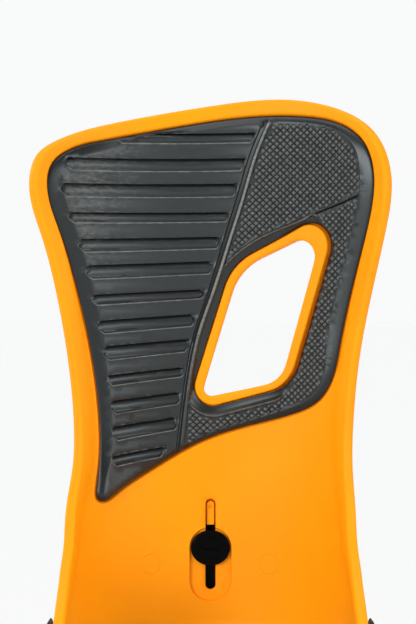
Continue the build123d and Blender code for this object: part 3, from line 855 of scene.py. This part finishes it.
def make_heel_cup():
    other = [(-u, z, r) for u, z, r in reversed(CUP_HALF)]
    outline = rounded(CUP_HALF + [(0, 15.4, 60)] + other, 1.8)
    slots = [cup_slot(side * (PIVOT_U - 4), 26, 27, 13, 6.4) for side in (-1, 1)]
    slots.append(cup_slot(0, 47, 55.6, 29, 10))
    bores = cup_hole(0, PIVOT_Z, 4.1) + cup_hole(-27, 43, 4.05)
    bores += cup_hole(-58, 14, 3.1) + cup_hole(-26, 14, 3.1)
    holes = slots + bores

    def from_bore(p):
        return np.min([np.hypot(*(p - hole.mean(0)).T) for hole in bores], axis=0)

    def outer(p):
        edge = away(p, outline)
        to_slot = np.min([away(p, slot) for slot in slots], axis=0)
        from_lobe = np.abs(np.abs(p[:, 0]) - PIVOT_U)
        h = CUP_WALL - edge_drop(edge, 1.3) - edge_drop(to_slot, 1.0)
        panel = ramp(edge, 5.0, 6.2) * ramp(to_slot, 3.2, 4.4) * ramp(from_bore(p), 9.0, 10.2)
        taper = ramp(p[:, 1], 64, 72) * (1 - ramp(from_lobe, 15, 21))
        slope = 3.4 * np.clip(1 - edge / LOBE_TAPER, 0, 1) ** 1.25
        return np.maximum(h - 0.7 * panel - taper * slope, 0.45)

    def inner(p):
        edge = away(p, outline)
        to_slot = np.min([away(p, slot) for slot in slots], axis=0)
        ledge = ramp(p[:, 1], 74.5, 76) * (1 - ramp(np.abs(p[:, 0]), 27, 28.5))
        return np.minimum(edge_drop(edge, 0.8) + edge_drop(to_slot, 0.9), 1.4) - 3.7 * ledge

    lines = edge_rings(outline, 1.3, 1)
    back_lines = edge_rings(outline, 0.8, 1)
    for slot in slots:
        lines += edge_rings(slot, 1.0, -1)
        back_lines += edge_rings(slot, 0.9, -1)
    lines += [(offset(outline, 5.0), True), (offset(outline, 6.2), True)]
    lines += [(circle(hole.mean(0), r, 36), True) for hole in bores for r in (9.0, 10.2)]
    for z in (74.5, 76.0):
        back_lines.append((np.column_stack((np.linspace(-28, 28, 20), np.full(20, z))), False))
    made = solid("heel_hoop", cup_surface, [outline] + holes, outer, inner, lines, back_lines)
    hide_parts("heel_cup")
    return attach(made, "heel_cup")


# ---------------------------------------------------------------- materials
def material(name, colour, roughness, **sockets):
    made = bpy.data.materials.new(name)
    made.use_nodes = True
    shader = made.node_tree.nodes["Principled BSDF"]
    shader.inputs["Base Color"].default_value = (*colour, 1)
    shader.inputs["Roughness"].default_value = roughness
    for key, value in sockets.items():
        shader.inputs[key.replace("_", " ")].default_value = value
    return made


def noise(made, scale, detail=3.0, stretch=(1, 1, 1)):
    """Fac socket of a noise in the piece's own coordinates. scale is waves per metre."""
    nodes, links = made.node_tree.nodes, made.node_tree.links
    place, mapping = nodes.new("ShaderNodeTexCoord"), nodes.new("ShaderNodeMapping")
    mapping.inputs["Scale"].default_value = stretch
    texture = nodes.new("ShaderNodeTexNoise")
    texture.inputs["Scale"].default_value = scale
    texture.inputs["Detail"].default_value = detail
    links.new(place.outputs["Object"], mapping.inputs["Vector"])
    links.new(mapping.outputs[0], texture.inputs["Vector"])
    return texture.outputs[0]


def blend_colours(made, fac, stops):
    """Base colour from a ramp of (position, colour) stops."""
    ramp_node = made.node_tree.nodes.new("ShaderNodeValToRGB")
    elements = ramp_node.color_ramp.elements
    while len(elements) < len(stops):
        elements.new(0.5)
    for element, (position, colour) in zip(elements, stops):
        element.position, element.color = position, (*colour, 1)
    made.node_tree.links.new(fac, ramp_node.inputs[0])
    made.node_tree.links.new(ramp_node.outputs[0],
                             made.node_tree.nodes["Principled BSDF"].inputs["Base Color"])


def vary_roughness(made, fac, low, high):
    span = made.node_tree.nodes.new("ShaderNodeMapRange")
    span.inputs["To Min"].default_value, span.inputs["To Max"].default_value = low, high
    made.node_tree.links.new(fac, span.inputs["Value"])
    made.node_tree.links.new(span.outputs[0],
                             made.node_tree.nodes["Principled BSDF"].inputs["Roughness"])


def grain_bump(made, fac, height_mm, strength=0.5):
    bump = made.node_tree.nodes.new("ShaderNodeBump")
    bump.inputs["Distance"].default_value = height_mm * MM
    bump.inputs["Strength"].default_value = strength
    made.node_tree.links.new(fac, bump.inputs["Height"])
    made.node_tree.links.new(bump.outputs[0],
                             made.node_tree.nodes["Principled BSDF"].inputs["Normal"])


def nylon(name, light, dark, roughness, grain_mm=0.02, **sockets):
    """Moulded nylon: cloudy colour, fine spark-eroded grain, a little uneven gloss."""
    made = material(name, light, roughness, **sockets)
    blend_colours(made, noise(made, 28, 4), [(0.35, dark), (0.68, light)])
    vary_roughness(made, noise(made, 160, 4), roughness - 0.05, roughness + 0.07)
    grain_bump(made, noise(made, 2600, 2), grain_mm)
    return made


def make_foam():
    """Moulded EVA foam: black and a little glossy, duller and greyer where the mesh's share of
    wear and painted sheen is high, up to a pale painted highlight colour.
    """
    # The first colour is the foam's own black. The middle one is wear with painted sheen. The last
    # one is a painted highlight colour for crests and beads.
    fresh, worn_with_sheen, crest = (0.006, 0.006, 0.006), (0.024, 0.026, 0.026), (0.19, 0.19, 0.175)
    made = material("pad_foam", (0.014, 0.015, 0.015), 0.42, Specular_IOR_Level=0.5,
                    Specular_Tint=(0.88, 0.98, 1.0, 1))
    nodes, links = made.node_tree.nodes, made.node_tree.links
    wear_sheen_share = nodes.new("ShaderNodeAttribute")
    wear_sheen_share.attribute_name = "wear_sheen_share"
    cloud = nodes.new("ShaderNodeMapRange")
    cloud.inputs["From Min"].default_value, cloud.inputs["From Max"].default_value = 0.3, 0.7
    cloud.inputs["To Min"].default_value, cloud.inputs["To Max"].default_value = 0.78, 1.12
    links.new(noise(made, 900, 7, (0.4, 0.4, 1)), cloud.inputs["Value"])
    amount = nodes.new("ShaderNodeMath")
    amount.operation = "MULTIPLY"
    links.new(wear_sheen_share.outputs["Fac"], amount.inputs[0])
    links.new(cloud.outputs[0], amount.inputs[1])
    blend_colours(made, amount.outputs[0], [(0.0, fresh), (0.5, worn_with_sheen), (1.0, crest)])
    vary_roughness(made, amount.outputs[0], 0.34, 0.56)
    grain_bump(made, noise(made, 3200, 3), 0.03, 0.6)
    return made


def steel(name, colour, roughness):
    made = material(name, colour, roughness, Metallic=1.0)
    vary_roughness(made, noise(made, 900, 4, (0.1, 1, 1)), roughness - 0.08, roughness + 0.12)
    grain_bump(made, noise(made, 1500, 3, (0.15, 1, 1)), 0.008)
    return made


def paint(piece, made):
    piece.data.materials.clear()
    piece.data.materials.append(made)


def soften_edges(node, width_mm):
    """Rounds a CAD node's edges, without a change to its mesh."""
    weld = node.modifiers.new("weld", "WELD")
    weld.merge_threshold = 0.002 * MM
    bevel = node.modifiers.new("soft_edges", "BEVEL")
    bevel.width, bevel.segments = width_mm * MM, 2
    bevel.limit_method, bevel.angle_limit = "ANGLE", math.radians(38)
    bevel.harden_normals = True


orange = nylon("orange_nylon", (0.97, 0.335, 0.0035), (0.95, 0.31, 0.0025), 0.48,
               Specular_IOR_Level=0.1)
# The lever's orange is a lighter, yellower copy of the shell's: painted light, since the lever's
# tongue is seen in shade through the slot.
lit_lever_orange = nylon("lit_lever_orange", (0.98, 0.39, 0.003), (0.96, 0.36, 0.002), 0.36,
                     Specular_IOR_Level=0.1)
black = nylon("black_nylon", (0.006, 0.006, 0.007), (0.0035, 0.0035, 0.004), 0.44,
              Specular_IOR_Level=0.25)
jet = nylon("jet_black_nylon", (0.0016, 0.0014, 0.0014), (0.001, 0.001, 0.001), 0.3, 0.01,
            Specular_IOR_Level=0.04)
rubber = nylon("black_rubber", (0.016, 0.016, 0.016), (0.011, 0.011, 0.011), 0.75, 0.03)
washer = nylon("washer_nylon", (0.55, 0.54, 0.5), (0.5, 0.49, 0.45), 0.5)
dark_steel = steel("dark_steel", (0.09, 0.09, 0.095), 0.38)
bright_steel = steel("bright_steel", (0.62, 0.61, 0.59), 0.3)
foam = make_foam()
SOFT_EDGE, FINE_EDGE = 0.3, 0.12        # width of the rounding on a CAD node's edges
FINISHES = {"orange_shell": orange, "orange_lever": lit_lever_orange, "pad_foam": foam,
            "black_nylon": black, "black_rubber": rubber, "washer_nylon": washer,
            "dark_steel": dark_steel, "bright_steel": bright_steel}

paint(make_shell(), orange)
pad = make_pad()
paint(pad, foam)
paint(make_heel_cup(), black)
for subpart in frame["record"]["subparts"]:
    node = bpy.data.objects[subpart["node"]]
    if not node.hide_render:
        deep = node.name in ("lean_cap", "lean_block")
        paint(node, jet if deep else FINISHES[subpart["material_slot"]])
        fine = "lean_rack" in node.name or "spring" in node.name
        soften_edges(node, FINE_EDGE if fine else SOFT_EDGE)


# ---------------------------------------------------------------- floor, light, camera
FLOOR_REACH = 40.0      # metres each way, so that its edge is at the horizon
BACKDROP = (0.95, 0.955, 0.955, 1)


def make_floor():
    mesh = bpy.data.meshes.new("floor")
    r = FLOOR_REACH
    mesh.from_pydata([(-r, -r, 0), (r, -r, 0), (r, r, 0), (-r, r, 0)], [], [(0, 1, 2, 3)])
    made = bpy.data.objects.new("floor", mesh)
    bpy.context.scene.collection.objects.link(made)
    made.location.z = -0.0005
    paint(made, material("pale_floor", (0.779, 0.779, 0.779), 0.8))


def make_camera():
    data = bpy.data.cameras.new("camera")
    data.sensor_width, data.lens = 36, 121.8
    made = bpy.data.objects.new("camera", data)
    made.location = (-0.00107, -0.850, 0.204)
    made.rotation_euler = (math.radians(90), 0, 0)
    bpy.context.scene.collection.objects.link(made)
    bpy.context.scene.camera = made


def sun(name, towards, power, softness, colour=(1, 1, 1)):
    """Broad light from one side. towards points from the object to the light."""
    lamp = bpy.data.lights.new(name, "SUN")
    lamp.energy, lamp.angle, lamp.color = power, math.radians(softness), colour
    made = bpy.data.objects.new(name, lamp)
    made.rotation_euler = Vector(towards).to_track_quat("Z", "Y").to_euler()
    bpy.context.scene.collection.objects.link(made)


def make_world():
    """Light that is brighter behind the object than in front, and a plain pale backdrop."""
    world = bpy.data.worlds.new("studio")
    world.use_nodes = True
    tree = world.node_tree
    place, axes = tree.nodes.new("ShaderNodeTexCoord"), tree.nodes.new("ShaderNodeSeparateXYZ")
    shade = tree.nodes.new("ShaderNodeValToRGB")
    front, back = shade.color_ramp.elements
    front.position, front.color = 0.48, (0.13, 0.13, 0.135, 1)
    back.position, back.color = 0.66, (0.4, 0.405, 0.41, 1)
    span = tree.nodes.new("ShaderNodeMapRange")
    span.inputs["From Min"].default_value = -1.0
    tree.links.new(place.outputs["Generated"], axes.inputs[0])
    tree.links.new(axes.outputs["Y"], span.inputs["Value"])
    tree.links.new(span.outputs[0], shade.inputs[0])
    seen, choice = tree.nodes.new("ShaderNodeLightPath"), tree.nodes.new("ShaderNodeMixRGB")
    choice.inputs["Color2"].default_value = BACKDROP
    tree.links.new(seen.outputs["Is Camera Ray"], choice.inputs["Fac"])
    tree.links.new(shade.outputs[0], choice.inputs["Color1"])
    tree.links.new(choice.outputs[0], tree.nodes["Background"].inputs["Color"])
    bpy.context.scene.world = world


bpy.context.scene.view_settings.view_transform = "Standard"
make_floor()
make_camera()
make_world()
sun("right_box", (0.85, -0.53, 0.15), 1.85, 36, (0.95, 0.98, 1.0))
sun("left_box", (-0.53, -0.78, 0.1), 2.35, 30)
sun("top_box", (-0.1, -0.5, 1.0), 0.7, 50)
sun("back_box", (0.0, 0.1, 1.0), 1.5, 60)
sun("back_key", (-0.85, 0.5, 0.3), 1.4, 25)
